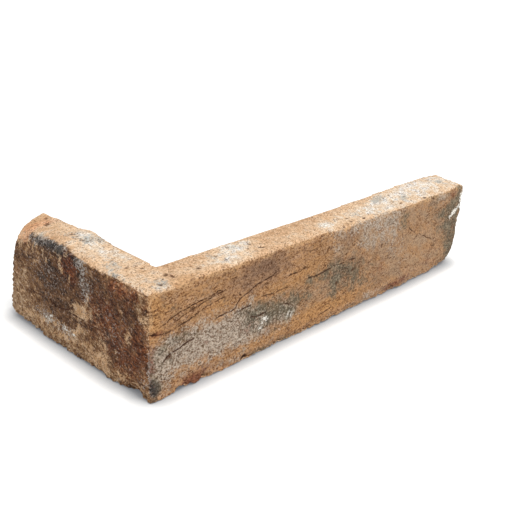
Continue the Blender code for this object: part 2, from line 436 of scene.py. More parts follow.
# Warm yellow-orange clay.
OCHRE = {
    "stretcher": [
        (4, 42, 4.5, 11, 0, 1), (2, 26, 2, 8, 0, 0.6), (40, 33.5, 12, 3, 4, 0.6),
        (34, 46, 34, 7, 2, 0.4), (78, 31, 24, 4, 0, 0.6), (62, 6.5, 18, 3, 0, 0.7),
        (92, 11, 8, 5, 0, 0.4), (110, 9, 24, 4.5, 2, 0.85), (135, 8, 14, 4, 0, 0.6),
        (103, 36, 12, 10, 0, 0.5), (118, 44, 3, 6, 0, 0.5), (137, 38, 3, 4, 20, 0.5),
        (190, 20, 20, 9, -30, 0.4),
    ],
    "header": [(114, 49, 5, 3, -40, 0.6), (1, 28, 2, 22, 0, 0.9)],
    "top": [(14, 106, 11, 9, 0, 0.6), (24, 4, 12, 4, 0, 0.6)],
    "far_end": [(6, 48, 6, 5, 0, 0.6)],
    "header_end": [(6, 50, 8, 5, 0, 0.6)],
}

# Grey-purple clay.
MAUVE = {
    "stretcher": [
        (69, 45, 9, 4, 0, 0.9), (78, 45, 22, 6, 0, 0.35), (50, 41, 12, 6, 0, 0.4),
        (76, 38, 8, 3, 10, 0.35), (18, 24, 14, 3, 5, 0.35), (128, 44, 9, 4, 0, 0.45),
        (150, 47, 14, 4, 0, 0.5), (130, 28, 16, 8, 0, 0.4), (160, 27, 10, 5, -30, 0.3),
        (205, 14, 14, 5, -30, 0.3), (233, 28, 5, 5, 0, 0.5), (13, 25, 9, 6, 0, 0.4),
        (60, 37, 10, 5, 0, 0.35), (64, 12, 14, 4, 0, 0.4),
    ],
    "far_end": [(10, 26, 9, 16, 0, 0.5)],
    "header_end": [(10, 22, 9, 16, 0, 0.5)],
    "bed": [(40, 10, 60, 9, 0, 0.5)],
}

# Pale tan clay where the dark skin has flaked off.
FLAKED = {
    "header": [
        (50, 26, 7.6, 3.8, -18, 1), (51, 16.5, 2.6, 2, 0, 0.85), (15, 27, 2.2, 4.2, 12, 0.85),
        (4.5, 39, 2.8, 1.6, 0, 0.9), (19, 37, 1.4, 1.2, 0, 0.9), (44, 35, 1, 1.8, 0, 0.8),
        (65.5, 48.5, 1.5, 4.5, 8, 1), (69, 50, 1.2, 2.6, 16, 0.9), (61, 50, 1, 2.4, 8, 0.8),
        (58, 39.5, 0.9, 2.6, 4, 0.95), (90, 48, 1.4, 3.6, 12, 0.7), (86, 47, 0.9, 3, 12, 0.7),
        (93, 19, 1.8, 1.4, 0, 0.7), (24, 16, 1.2, 1.2, 0, 0.7), (62, 8, 8, 3, -10, 0.6),
        (46, 9.5, 9, 2.8, -4, 0.6), (33, 11, 4, 5, 0, 0.65), (34, 18, 4, 6, 0, 0.3),
        (22, 5, 8, 2.4, -8, 0.6), (96, 8, 7, 1.4, -12, 0.7), (84, 9, 6, 1.2, -12, 0.7),
        (70, 6, 7, 1.4, -12, 0.7), (54, 14, 5, 1.2, -16, 0.7), (36, 8, 7, 1.4, -10, 0.7),
        (102, 18, 4, 1.2, -20, 0.6), (110, 46, 7, 5, -40, 0.6), (103, 46, 5, 4, -20, 0.45),
        (106, 47, 3, 1.6, -40, 0.8), (103, 42, 2, 1, -40, 0.7), (85, 6, 6, 4, 0, 0.5),
        (72, 12, 6, 3, 0, 0.5), (40, 3.5, 12, 2.6, 0, 0.6), (8, 4, 6, 4, 0, 0.5),
        (35, 29, 4, 5, 0, 0.2), (102, 5, 10, 4, 0, 0.3), (95, 44, 2.2, 2.6, 10, 0.6),
        (90, 43, 1, 2.4, 16, 0.6), (0.8, 34, 1.2, 14, 0, 0.9), (0.8, 14, 1, 7, 0, 0.6),
        (77.5, 42.5, 1.6, 1.2, 0, 0.8), (84, 42, 1, 3.2, 14, 0.7), (88, 38.5, 3, 1, 0, 0.6),
        (80, 45.5, 0.8, 2.4, 12, 0.7), (73, 46, 0.8, 2.2, 10, 0.6), (64, 41.5, 1.2, 1.2, 0, 0.7),
    ],
}

# White mortar, thick enough to stand proud.
MORTAR = {
    "header": [
        (78.5, 12, 3, 1.6, 0, 0.6), (64, 12.3, 2.6, 1.2, 0, 0.7), (75, 14.6, 1.6, 0.8, 0, 0.7),
        (56, 11.8, 1.4, 0.8, 0, 0.6),
    ],
    "stretcher": [
        (69.5, 17.5, 2.2, 1.2, -20, 0.75), (66.5, 14, 1.6, 1.2, 0, 0.6), (87.5, 14, 2, 1.8, 0, 0.55),
        (228.5, 33, 2.6, 1.3, 35, 0.9), (233, 36, 4, 1.2, 28, 1), (237.5, 42, 1.8, 4.5, -5, 0.9),
    ],
    "far_end": [(2, 42, 3, 6, 0, 0.8), (8, 48, 4, 3, 0, 0.6)],
    "top": [(62, 17.5, 4, 2, 20, 0.6), (119, 7, 4, 2.6, 10, 0.7), (155, 8, 4, 2.2, 15, 0.6)],
}

# Grey-white dust and lime on the two beds.
DUST = {
    "top": [
        (10, 12, 8, 8, 20, 0.55), (57, 14, 12, 5, 10, 0.85), (63, 15.5, 5, 3.5, 10, 0.5),
        (118, 6, 6, 4.5, 0, 0.8), (132, 7, 12, 5, 0, 0.45), (145, 11, 16, 7, 0, 0.35),
        (168, 7, 12, 6, 0, 0.6), (66, 14, 7, 5, 0, 0.6), (158, 8, 10, 5, 4, 0.85),
        (178, 12, 14, 7, 0, 0.8), (205, 11, 24, 10, 0, 0.95), (230, 12, 10, 8, 0, 0.8),
        (18, 68, 6, 8, 0, 0.7), (14.5, 60, 3, 10, 0, 0.55), (3, 26, 2.4, 7, 0, 0.7),
        (10.5, 2.5, 4, 3, 0, 0.8), (51.5, 7, 13, 3.4, 0, 0.7), (9, 58, 8, 8, 0, 0.5),
        (14, 42, 4, 10, 20, 0.5), (8, 33, 5, 8, 0, 0.5), (18, 90, 5, 12, 0, 0.35),
        (5, 89, 4, 6, 0, 0.6), (30, 6, 6, 4, 0, 0.4), (55, 5, 6, 3, 0, 0.5), (94, 6, 10, 4, 0, 0.3),
        (18, 40, 5, 12, 0, 0.6),
    ],
    "corner": [(12, 101, 10, 8, 0, 0.65)],
    "bed": [(30, 12, 14, 6, 0, 0.6), (150, 9, 30, 7, 4, 0.6), (12, 95, 8, 14, 0, 0.6)],
}

# Grey spots in that dust.
GREY = {
    "top": [
        (172, 15, 5, 2.6, 12, 0.8), (188, 8, 4, 2.2, 10, 0.8), (227, 11.5, 3.5, 2.4, 0, 0.8),
        (146, 9, 3, 2, 0, 0.5), (158, 6, 3, 2, 0, 0.5), (62, 16, 3, 2, 20, 0.7),
        (47, 14, 2, 3, 20, 0.7), (12, 7, 4, 4, 0, 0.6), (3, 26, 2, 5, 0, 0.6), (21, 62, 2.4, 5, 0, 0.5),
        (8, 34, 3, 5, 0, 0.6), (15, 64, 4, 3, 0, 0.7), (12, 74, 3, 4, 0, 0.6), (4, 88, 3, 4, 0, 0.7),
    ],
}

# Pits, cut into the mesh and drawn dark in the material with painted shade, most of them in the top bed.
PITS = {
    "top": [
        (19.5, 12, 1.5, 1, 20, 1), (20.5, 8.5, 1.1, 1.6, -10, 0.9), (34, 7.5, 1.1, 1.3, 30, 0.9),
        (33, 11.5, 0.8, 0.8, 0, 0.7), (36, 12.5, 0.7, 0.7, 0, 0.6), (50, 7.5, 1.3, 0.7, 0, 0.8),
        (49, 13.5, 0.7, 1.1, 10, 0.8), (60, 17, 0.9, 0.8, 0, 0.8), (73, 7.6, 1.8, 0.9, -20, 1),
        (71, 14, 0.9, 1.3, 0, 0.8), (11.5, 5.6, 1, 0.9, 0, 0.9), (11.5, 29, 1, 0.9, 0, 1),
        (16.5, 24.5, 0.9, 0.8, 0, 0.9), (13, 41, 0.8, 0.8, 0, 0.6), (14.5, 98.5, 1.6, 1.3, 30, 1),
        (13.5, 74, 1, 1.8, 20, 0.9), (13, 65, 1.1, 1.9, 20, 0.8), (19, 60, 0.8, 0.8, 0, 0.7),
        (132, 10, 0.8, 0.7, 0, 0.8), (136, 8, 1, 0.7, 20, 0.9), (135, 4, 0.9, 0.7, 0, 0.9),
        (145, 3.5, 1.1, 0.8, 30, 1), (156, 3.5, 0.9, 0.7, 0, 0.8), (127, 2, 0.9, 0.7, 0, 0.8),
        (180, 5, 1.1, 0.7, 20, 0.9), (177.5, 8.5, 1.1, 0.7, 20, 0.9), (182, 15, 0.9, 0.7, 20, 0.7),
        (200, 2.5, 1.4, 0.8, 10, 1),
    ],
    "corner": [
        (9, 104, 1, 0.7, 30, 0.8), (13, 108, 1.2, 0.8, -20, 0.9), (6, 111, 0.9, 1.2, 10, 0.8),
        (18, 105, 1, 0.8, 60, 0.8),
    ],
    "stretcher": [
        (57, 1.4, 1.8, 1.3, -30, 1), (7, 39.5, 0.8, 0.8, 0, 0.8), (4, 32.2, 1.3, 0.7, 0, 1),
        (123, 20, 1, 1.3, 0, 0.9), (136, 24, 2.4, 0.8, 5, 0.9), (160, 31.5, 1.2, 0.8, 20, 0.9),
        (129, 35, 1.3, 0.6, 0, 0.8), (157, 26, 1.2, 0.6, 30, 0.7), (208, 48, 1.3, 0.7, -10, 0.9),
        (205, 41, 1, 0.8, 0, 0.7), (238, 13, 1.3, 2, 20, 1), (173, 2, 2.4, 1, 0, 0.8),
        (11.5, 19, 1.8, 1.1, 20, 0.9),
    ],
    "header": [(5, 2, 1.6, 1.1, 0, 0.8)],
}

# Cracks and drag lines, by face, cut into the mesh and drawn dark in the material with painted shade.
# Each one: half width in mm, strength and the line's points.
CRACKS = {
    "stretcher": [
        (0.32, 0.9, [(9, 35.2), (12.2, 36.4), (18.4, 37.9), (25, 39.1), (32.4, 39.9), (41, 41.2)]),
        (0.28, 0.75, [(16, 34.6), (22, 36.2), (30, 38), (38, 39.6), (44, 40.6)]),
        (0.26, 0.65, [(26, 34.2), (36, 36.2), (44, 37.6)]),
        (0.34, 0.85, [(10, 30.4), (16.6, 31.7), (23, 32.8), (28, 34)]),
        (0.36, 0.8, [(1.5, 32.5), (6, 31.5), (9, 31)]),
        (0.55, 1, [(9, 17.6), (12, 19.5), (17, 21), (25, 23)]),
        (0.32, 0.8, [(38.5, 28.2), (45, 29.2), (47.4, 28.6)]),
        (0.44, 1, [(47.4, 28.6), (49.8, 29.2), (51.7, 31.7), (54.3, 33.9)]),
        (0.34, 1, [(54.3, 33.9), (56.9, 34.5), (64.6, 37.1), (72.4, 37.8), (78.5, 39.8)]),
        (0.38, 0.9, [(51.4, 27.3), (55.4, 27.6), (60, 27.8)]),
        (0.28, 0.7, [(67, 30.2), (74.8, 28.9), (80.6, 29.4), (87.5, 29)]),
        (0.32, 0.9, [(86, 35.4), (92.6, 35.1), (97.7, 36.1)]),
        (0.4, 0.9, [(99.7, 29.8), (104, 29.3), (108.8, 29.1), (114, 29.8), (116.8, 30.2)]),
        (0.34, 0.8, [(84, 21), (86.7, 19.4)]),
        (0.32, 0.9, [(109.9, 5.8), (114.8, 6.6), (119.3, 7.2)]),
        (0.38, 0.9, [(60, 21.5), (66.3, 20.2), (70, 20.8)]),
        (0.32, 0.7, [(184, 36.5), (187, 34), (191, 31.4)]),
        (0.34, 0.9, [(196, 29.6), (199, 27.5), (203, 26)]),
        (0.28, 0.6, [(203, 25.4), (207, 24), (211, 22)]),
        (0.3, 0.7, [(119, 31), (127, 30.5)]),
        (0.3, 0.7, [(131, 31), (137, 30.3)]),
        (0.28, 0.5, [(137, 41), (141, 38)]),
        (0.28, 0.6, [(126, 27), (132, 26.2)]),
        (0.28, 0.5, [(97, 45.2), (101, 43.6), (107, 44.6)]),
        (1.1, 1, [(55.6, 2.4), (58.2, 1)]),
    ],
    "header": [
        (0.53, 0.7, [(93, 21), (82, 21.6)]),
        (0.55, 1, [(77, 22), (73, 21.2), (69, 20.8), (64, 21.6), (61, 22.6), (57.5, 25)]),
        (0.45, 0.9, [(58, 21.4), (54, 21.8), (48, 21.4)]),
        (0.45, 0.8, [(42, 21.5), (36, 22.2)]),
        (0.53, 0.7, [(12, 26), (4, 26.5)]),
    ],
    "far_end": [(0.53, 0.8, [(3, 26), (9, 29), (17, 28)])],
    "header_end": [(0.53, 0.8, [(2, 34), (10, 33), (16, 36)])],
    "bed": [
        (0.61, 0.8, [(30, 6), (52, 9), (71, 7)]),
        (0.61, 0.8, [(6, 30), (9, 52), (7, 68)]),
    ],
}


def drag_lines(surface):
    """Fine grooves that the mould dragged along the stretcher, rising a little to the right."""
    along, across = turned(surface.u, surface.z, DRAG_SLOPE)
    stretched = np.stack((along / DRAG_LONG, surface.v / STROKE_DEEP, across / STROKE_WIDE), axis=1)
    lines = lumps(stretched, 1, 2, seed=31)
    some = smooth(-0.05, 0.35, lumps(surface.places, DRAG_FLOCK, 2, seed=37))
    return smooth(0.12, 0.0, np.abs(lines)) * some * surface.weights["stretcher"]


def fibres(surface):
    """Slanted strokes of the header's rough skin, -1 to 1."""
    along, across = turned(surface.v, surface.z, FIBRE_SLOPE)
    stretched = np.stack((surface.u / STROKE_DEEP, along / FIBRE_LONG, across / STROKE_WIDE), axis=1)
    return lumps(stretched, 1, 3, seed=41) * surface.weights["header"]


def store(mesh, name, *masks):
    """Keeps two or three masks on the vertices as one vector, for the material to read."""
    values = np.zeros((len(mesh.vertices), 3), np.float32)
    for column, mask in enumerate(masks):
        values[:, column] = mask
    attribute = mesh.attributes.new(name, "FLOAT_VECTOR", "POINT")
    attribute.data.foreach_set("vector", values.ravel())


def wear_surface(piece):
    """Moves the vertices into the worn relief and stores the masks that the material reads."""
    mesh = piece.data
    rounded = round_arrises(mesh)
    surface = Surface(mesh)
    places = surface.places
    weights = surface.weights
    worn = surface.worn
    header = weights["header"]

    ragged = RAGGED * lumps(places, RAGGED_WIDE, 3, seed=11)
    wander = WANDER * lumps(places, WANDER_WIDE, 2, seed=23)
    breaks = np.clip(0.88 + 1.1 * lumps(places, BREAKS_WIDE, 2, seed=29), 0, 1.1)

    def marks(*tables):
        return [surface.patches(table, ragged) for table in tables]

    arris = smooth(0.08, 0.6, rounded) * worn
    crumbs = np.clip(lumps(places, CRUMB_WIDE, 3, seed=3) + 0.08, 0, 1)
    at_end = smooth(HEADER - FOOT_START, HEADER - FOOT_FULL, surface.v)
    low = np.maximum(smooth(FOOT_START, FOOT_FULL, surface.z), 0.7 * at_end)
    crumbs += 1.8 * low * np.clip(lumps(places, FOOT_CRUMB_WIDE, 3, seed=4) + 0.08, 0, 1)
    fibre = fibres(surface)
    drag = drag_lines(surface)
    groove, across, plain = surface.cracks(CRACKS, wander)
    placed_pits = surface.patches(PITS, 0.5 * ragged)
    small_pits = hollows(places, PIT_APART, PIT_RADIUS, seed=1) * worn
    flocks = smooth(-0.1, 0.3, lumps(places, PORE_FLOCK, 2, seed=19))
    pores = hollows(places, PORE_APART, PORE_RADIUS, seed=2) * flocks * surface.sawn
    mortar, lime = marks(MORTAR, LIME)

    header_foot = header * smooth(ROUGH_START, ROUGH_FULL, surface.z)
    rough = worn * (1 + 0.9 * header + 1.6 * header_foot + 0.4 * lime)
    lift = LUMP_DEEP * worn * lumps(places, LUMP_WIDE, 3, seed=5)
    lift += GRAIN_DEEP * rough * lumps(places, GRAIN_WIDE, 2, seed=7)
    lift += FOOT_DEEP * worn * low * lumps(places, FOOT_WIDE, 2, seed=8)
    lift += SAWN_DEEP * surface.sawn * lumps(places, SAWN_WIDE, 2, seed=9)
    lift += FIBRE_DEEP * fibre
    lift -= DRAG_DEEP * drag
    lift -= CRACK_DEEP * groove * breaks
    lift -= PIT_DEEP * np.maximum(placed_pits, 0.6 * small_pits)
    lift -= CRUMBLE_DEEP * arris * crumbs * (1 + 0.6 * low)
    lift -= PORE_DEEP * pores
    lift += MORTAR_DEEP * mortar

    moved = places + surface.normals * lift[:, None]
    moved[:, 2] = np.maximum(moved[:, 2], 0)
    write_places(mesh, moved)

    # Pits, pores and drag grooves: where the material paints shade into the hollows.
    hollow = np.maximum.reduce([placed_pits, 0.8 * small_pits, pores, 0.5 * drag])
    bedded = np.maximum(weights["top"], weights["corner"]) + 0.8 * weights["bed"]
    store(mesh, "faces", header, bedded, surface.sawn)
    store(mesh, "skin", *marks(CHAR, RUDDY, FLAKED))
    store(mesh, "stains", lime, *marks(SOOT, RUST))
    store(mesh, "tints", *marks(OCHRE, MAUVE), mortar)
    store(mesh, "bedding", *marks(DUST, GREY), arris)
    store(mesh, "relief", np.clip(hollow, 0, 1), *marks(SMEARED))
    store(mesh, "lines", across, plain * breaks)


# Material. Colours are linear.

# Sizes of its grain, in mm, and how deep the finest looks.
FINE_GRAIN = 0.52
SAND_GRAIN = 1.1
PORE_GRAINS = (1.7, 2.9)
WORM = 0.85  # winding dark grain
SPECK = 1.1
STROKE = 1.1
DUSTY = 1.5
LINE = 2.2
MOTTLE = 3.2
PATCH = 3.4
BLOTCH = 4.0
SMEAR = 5
CLOUD = 15
SAW_BAND = 16
FLOCK = 22  # of pores
BUMP_DEEP = 0.35

CLAY_RAMP = [
    (0.28, 0.15, 0.085, 0.045),
    (0.42, 0.3, 0.17, 0.085),
    (0.52, 0.43, 0.235, 0.11),
    (0.62, 0.49, 0.285, 0.155),
    (0.76, 0.6, 0.43, 0.29),
]
DUSTY_CLAY = (0.47, 0.31, 0.205, 1)
OCHRE_CLAY = (0.5, 0.265, 0.105, 1)
MAUVE_CLAY = (0.23, 0.138, 0.09, 1)
ARRIS_COLOUR = (0.58, 0.36, 0.19, 1)
SMEAR_COLOUR = (0.38, 0.27, 0.18, 1)
LIME_COLOUR = (0.5, 0.425, 0.35, 1)
LIME_SHADE = (0.125, 0.088, 0.06, 1)
LIME_ON_SKIN = (0.56, 0.53, 0.49, 1)
SOOT_COLOUR = (0.085, 0.073, 0.05, 1)
SOOT_GREY = (0.27, 0.24, 0.175, 1)
SOOT_BLACK = (0.022, 0.022, 0.024, 1)
RUST_COLOUR = (0.19, 0.06, 0.028, 1)
MORTAR_COLOUR = (0.84, 0.82, 0.76, 1)

SKIN_RAMP = [
    (0.24, 0.026, 0.014, 0.008),
    (0.4, 0.115, 0.056, 0.027),
    (0.54, 0.235, 0.122, 0.057),
    (0.66, 0.43, 0.27, 0.14),
    (0.8, 0.78, 0.6, 0.42),
]
RUDDY_TINT = (1.22, 0.76, 0.62, 1)
PINK_TINT = (1.0, 0.75, 0.6, 1)
FLAKED_COLOUR = (0.72, 0.5, 0.31, 1)

BED_RAMP = [
    (0.22, 0.5, 0.29, 0.155),
    (0.4, 0.7, 0.465, 0.285),
    (0.56, 0.77, 0.565, 0.385),
    (0.72, 0.8, 0.68, 0.55),
    (0.88, 0.86, 0.85, 0.83),
]
GREY_COLOUR = (0.38, 0.39, 0.37, 1)

SAWN_CLAY = (0.52, 0.235, 0.088, 1)
SAWN_OCHRE = (0.57, 0.3, 0.11, 1)
SAWN_PALE = (0.6, 0.345, 0.17, 1)
SAWN_RED = (0.3, 0.1, 0.04, 1)
# Painted shade, drawn into the small pores of the sawn faces.
PAINTED_PORE_SHADE = (0.11, 0.03, 0.014, 1)
CREAM_GRAIN = (0.76, 0.6, 0.42, 1)

GRAIN_TINT = (0.4, 0.29, 0.22, 1)
DARK_GRAIN = (0.06, 0.032, 0.02, 1)
PALE_GRAIN = (0.66, 0.5, 0.36, 1)
# Painted shade: the dark put into pits, pores, drag grooves and the stretcher's fine scratch lines.
PAINTED_HOLLOW_SHADE = (0.085, 0.034, 0.014, 1)
# Painted shade drawn along the cracks.
PAINTED_CRACK_SHADE = (0.08, 0.032, 0.018, 1)


class Tree:
    """Short calls that add nodes to a material or to the sky."""

    def __init__(self, owner):
        owner.use_nodes = True
        self.tree = owner.node_tree
        self.tree.nodes.clear()

    def node(self, kind, inputs=(), **settings):
        made = self.tree.nodes.new(kind)
        for name, value in settings.items():
            setattr(made, name, value)
        for socket, value in dict(inputs).items():
            if isinstance(value, bpy.types.NodeSocket):
                self.tree.links.new(value, made.inputs[socket])
            else:
                made.inputs[socket].default_value = value
        return made

    def maths(self, operation, first, second=0.0, third=0.0):
        made = self.node("ShaderNodeMath", {0: first, 1: second, 2: third}, operation=operation)
        return made.outputs[0]

    def times(self, first, second):
        return self.maths("MULTIPLY", first, second)

    def plus(self, first, second):
        return self.maths("ADD", first, second)

    def larger(self, first, second):
        return self.maths("MAXIMUM", first, second)

    def scaled(self, value, factor, start=0.0):
        """The value times the factor, counted up from the start."""
        return self.maths("MULTIPLY_ADD", value, factor, start)

    def spread(self, value, width):
        """A value from 0 to 1 turned into one from minus half the width to plus half of it."""
        return self.scaled(value, width, -width / 2)

    def mix(self, amount, first, second, blend="MIX"):
        """Colours: the first where amount is 0 and the second where it is 1."""
        inputs = {0: amount, 6: first, 7: second}
        return self.node("ShaderNodeMix", inputs, data_type="RGBA", blend_type=blend).outputs[2]

    def tinted(self, colour, tint):
        return self.mix(1.0, colour, tint, "MULTIPLY")

    def brighter(self, colour, factor):
        inputs = {0: colour, "Scale": factor}
        return self.node("ShaderNodeVectorMath", inputs, operation="SCALE").outputs[0]

    def ramp(self, value, stops):
        """Colours that run through these stops, each a value and its red, green and blue."""
        made = self.node("ShaderNodeValToRGB", {0: value})
        elements = made.color_ramp.elements
        while len(elements) < len(stops):
            elements.new(0.5)
        for element, (position, *colour) in zip(elements, stops):
            element.position = position
            element.color = (*colour, 1)
        return made.outputs[0]

    def noise(self, place, size, detail=2.0, roughness=0.55):
        """Noise from 0 to 1 with lumps of the given size in mm."""
        inputs = {"Vector": place, "Scale": 1 / (size * MM), "Detail": detail, "Roughness": roughness}
        return self.node("ShaderNodeTexNoise", inputs).outputs["Fac"]

    def grains(self, place, size):
        """Grains of the given size in mm: two random values each, and how far out from its middle."""
        made = self.node("ShaderNodeTexVoronoi", {"Vector": place, "Scale": 1 / (size * MM)})
        chances = self.node("ShaderNodeSeparateColor", {0: made.outputs["Color"]}).outputs
        return chances[0], chances[1], made.outputs["Distance"]

    def between(self, value, low, high, to_low=0.0, to_high=1.0):
        """Maps low to high smoothly onto another range."""
        inputs = {0: value, 1: low, 2: high, 3: to_low, 4: to_high}
        return self.node("ShaderNodeMapRange", inputs, interpolation_type="SMOOTHSTEP").outputs[0]

    def cover(self, mask, breakup, spread=0.8, soft=0.3, most=1.0):
        """A mask whose edge is broken up into grains."""
        total = self.plus(mask, self.spread(breakup, spread))
        return self.between(total, 0.5 - soft, 0.5 + soft, 0.0, most)

    def masks(self, name):
        """The three masks stored on the vertices under this name."""
        stored = self.node("ShaderNodeAttribute", attribute_name=name, attribute_type="GEOMETRY")
        return self.node("ShaderNodeSeparateXYZ", {0: stored.outputs["Vector"]}).outputs

    def slanted(self, place, axis, angle, stretch):
        """Coordinates turned about an axis and then stretched, for grain with a direction."""
        turn = self.node("ShaderNodeVectorRotate", {"Vector": place, "Angle": angle}, rotation_type=axis)
        inputs = {0: turn.outputs[0], 1: stretch}
        return self.node("ShaderNodeVectorMath", inputs, operation="MULTIPLY").outputs[0]


class Clay:
    """The fired clay's material: masks from the mesh, the grains they share, a colour for each face."""

    def __init__(self, material):
        t = self.t = Tree(material)
        self.header, self.bedded, self.sawn = t.masks("faces")
        self.char, self.ruddy, self.flaked = t.masks("skin")
        self.lime, self.soot, self.rust = t.masks("stains")
        self.ochre, self.mauve, self.mortar = t.masks("tints")
        self.dust, self.grey, self.arris = t.masks("bedding")
        self.hollow, self.smeared = t.masks("relief")[:2]
        self.across, self.plain = t.masks("lines")[:2]
        self.place = place = t.node("ShaderNodeTexCoord").outputs["Object"]
        self.fine, self.fine_chance = t.grains(place, FINE_GRAIN)[:2]
        self.sand, self.sand_chance, self.sand_out = t.grains(place, SAND_GRAIN)
        self.speck = t.noise(place, SPECK, roughness=0.6)
        self.blotch = t.noise(place, BLOTCH, detail=3)
        self.worm = t.noise(self.dragged(0.7), WORM, roughness=0.65)
        self.cloud = t.noise(place, CLOUD, detail=3)
        self.flock = t.noise(place, FLOCK)
        self.coarse = t.scaled(self.speck, 0.5, t.times(self.blotch, 0.5))
        finer = t.scaled(self.speck, 1.3, -0.15)
        self.broken = t.between(self.header, 0, 1, self.coarse, finer)

    def dragged(self, along, slope=DRAG_SLOPE):
        """Coordinates for grain drawn out along the stretcher, longer where the number is smaller."""
        return self.t.slanted(self.place, "Y_AXIS", slope, (along, 1, 1))

    def brushed(self, along):
        """The same for the strokes on the header."""
        return self.t.slanted(self.place, "X_AXIS", FIBRE_SLOPE, (1, along, 1))

    def stretcher_colour(self):
        """Mottled tan clay with dust, soft smears and fine scratch lines drawn dark with painted shade,
        paler on its arrises.
        """
        t = self.t
        mottle = t.scaled(t.noise(self.dragged(0.45), MOTTLE, detail=5, roughness=0.72), 0.45, 0.28)
        colour = t.ramp(t.plus(mottle, t.spread(self.cloud, 0.26)), CLAY_RAMP)
        dusty = t.noise(self.dragged(0.35), DUSTY, detail=3, roughness=0.7)
        colour = t.mix(t.between(dusty, 0.48, 0.62, 0.0, 0.5), colour, DUSTY_CLAY)
        smear = t.noise(self.dragged(0.3, SMEAR_SLOPE), SMEAR, detail=3, roughness=0.5)
        smeared = t.times(self.smeared, t.between(smear, 0.3, 0.65, 0.1, 0.9))
        colour = t.mix(smeared, colour, SMEAR_COLOUR)
        ochre = t.cover(self.ochre, self.blotch, soft=0.4, most=0.85)
        mauve = t.cover(self.mauve, self.blotch, spread=0.9, soft=0.4, most=0.85)
        arris = t.cover(self.arris, self.blotch, soft=0.4, most=0.7)
        colour = t.mix(ochre, colour, OCHRE_CLAY)
        colour = t.mix(mauve, colour, MAUVE_CLAY)
        colour = t.mix(arris, colour, ARRIS_COLOUR)
        # Painted shade: fine scratch lines drawn dark along the drag direction.
        line = t.noise(self.dragged(0.14), LINE, detail=1)
        off_middle = t.maths("ABSOLUTE", t.plus(line, -0.5))
        here = t.between(self.blotch, 0.47, 0.6, 0, 0.55)
        return t.mix(t.times(t.between(off_middle, 0.035, 0.012), here), colour, PAINTED_HOLLOW_SHADE)

    def header_colour(self):
        """Dark fired skin in slanted strokes, darker where charred and pale where it has flaked off."""
        t = self.t
        stroke = t.noise(self.brushed(0.32), STROKE, detail=3, roughness=0.8)
        patch = t.noise(self.brushed(0.6), PATCH, detail=3, roughness=0.6)
        value = t.scaled(self.char, -0.33, 0.675)
        value = t.plus(t.plus(value, t.spread(self.cloud, 0.2)), t.spread(patch, 0.5))
        value = t.plus(t.plus(t.spread(stroke, 1.05), value), t.spread(self.fine, 0.18))
        skin = t.ramp(value, SKIN_RAMP)
        skin = t.mix(t.cover(self.ruddy, self.blotch, soft=0.4), skin, t.tinted(skin, RUDDY_TINT))
        chip = t.maths("GREATER_THAN", self.sand, 0.95)
        chip = t.times(chip, t.between(self.sand_out, 0.42, 0.26, 0, 0.6))
        skin = t.mix(chip, skin, FLAKED_COLOUR)
        flake = t.mix(t.between(self.blotch, 0.4, 0.6), FLAKED_COLOUR, ARRIS_COLOUR)
        breakup = t.plus(stroke, t.spread(self.speck, 0.8))
        return t.mix(t.cover(self.flaked, breakup, spread=1.5, soft=0.16, most=0.94), skin, flake)

    def bed_colour(self):
        """Peach clay mottled with pale mortar dust and grey spots."""
        t = self.t
        value = t.scaled(self.dust, 0.43, t.spread(self.sand, 0.08))
        value = t.plus(value, t.scaled(self.blotch, 0.75, -0.08))
        value = t.plus(value, t.scaled(self.speck, 0.4, -0.125))
        colour = t.ramp(value, BED_RAMP)
        ochre = t.cover(self.ochre, self.blotch, soft=0.4, most=0.8)
        colour = t.mix(ochre, colour, OCHRE_CLAY)
        pink = t.cover(self.ruddy, self.broken, spread=2, soft=0.35)
        colour = t.mix(pink, colour, t.tinted(colour, PINK_TINT))
        grey = t.cover(self.grey, self.broken, spread=2.4, soft=0.35, most=0.8)
        return t.mix(grey, colour, GREY_COLOUR)

    def sawn_colour(self):
        """Clay laid open by the saw: upright bands, flocks of pores drawn dark red-brown with painted
        shade, and a few cream grains.
        """
        t = self.t
        upright = t.slanted(self.place, "Z_AXIS", 0.0, (1, 1, 0.3))
        band = t.noise(upright, SAW_BAND, detail=3, roughness=0.5)
        colour = t.mix(t.between(band, 0.38, 0.64), SAWN_CLAY, SAWN_OCHRE)
        colour = t.mix(t.between(self.cloud, 0.45, 0.7, 0, 0.5), colour, SAWN_PALE)
        red = t.cover(self.rust, self.broken, spread=1.6, soft=0.45, most=0.8)
        colour = t.mix(red, colour, SAWN_RED)
        crowd = t.scaled(self.rust, 0.5, t.between(self.flock, 0.45, 0.75, 0.02, 0.4))
        # Painted shade: pores drawn dark red-brown in flocks.
        for size in PORE_GRAINS:
            wide, chance, out = t.grains(self.place, size)
            edge = t.times(t.scaled(wide, 0.3, 0.12), t.maths("LESS_THAN", chance, crowd))
            out = t.plus(out, t.spread(self.speck, 0.35))
            colour = t.mix(t.between(out, edge, t.plus(edge, -0.12), 0, 0.85), colour, PAINTED_PORE_SHADE)
        cream = t.maths("GREATER_THAN", self.sand_chance, 0.975)
        cream = t.times(cream, t.between(self.sand_out, 0.5, 0.35))
        return t.mix(t.times(cream, 0.8), colour, CREAM_GRAIN)

    def stained(self, colour):
        """The colour under lime, soot and red clay."""
        t = self.t
        crumb = t.plus(self.speck, t.spread(self.fine, 0.2))
        limy = t.mix(self.header, LIME_COLOUR, LIME_ON_SKIN)
        limy = t.mix(t.between(crumb, 0.33, 0.48), LIME_SHADE, limy)
        sooty = t.mix(t.between(crumb, 0.42, 0.62), SOOT_COLOUR, SOOT_GREY)
        sooty = t.mix(t.larger(self.header, t.times(self.char, 1.6)), sooty, SOOT_BLACK)
        other = t.maths("SUBTRACT", 1, self.coarse)
        lime = t.cover(self.lime, self.broken, spread=2.2, most=0.92)
        soot = t.cover(self.soot, other, spread=3, soft=0.4, most=0.88)
        rust = t.cover(self.rust, self.broken, spread=2, soft=0.35, most=0.85)
        return t.mix(rust, t.mix(soot, t.mix(lime, colour, limy), sooty), RUST_COLOUR)

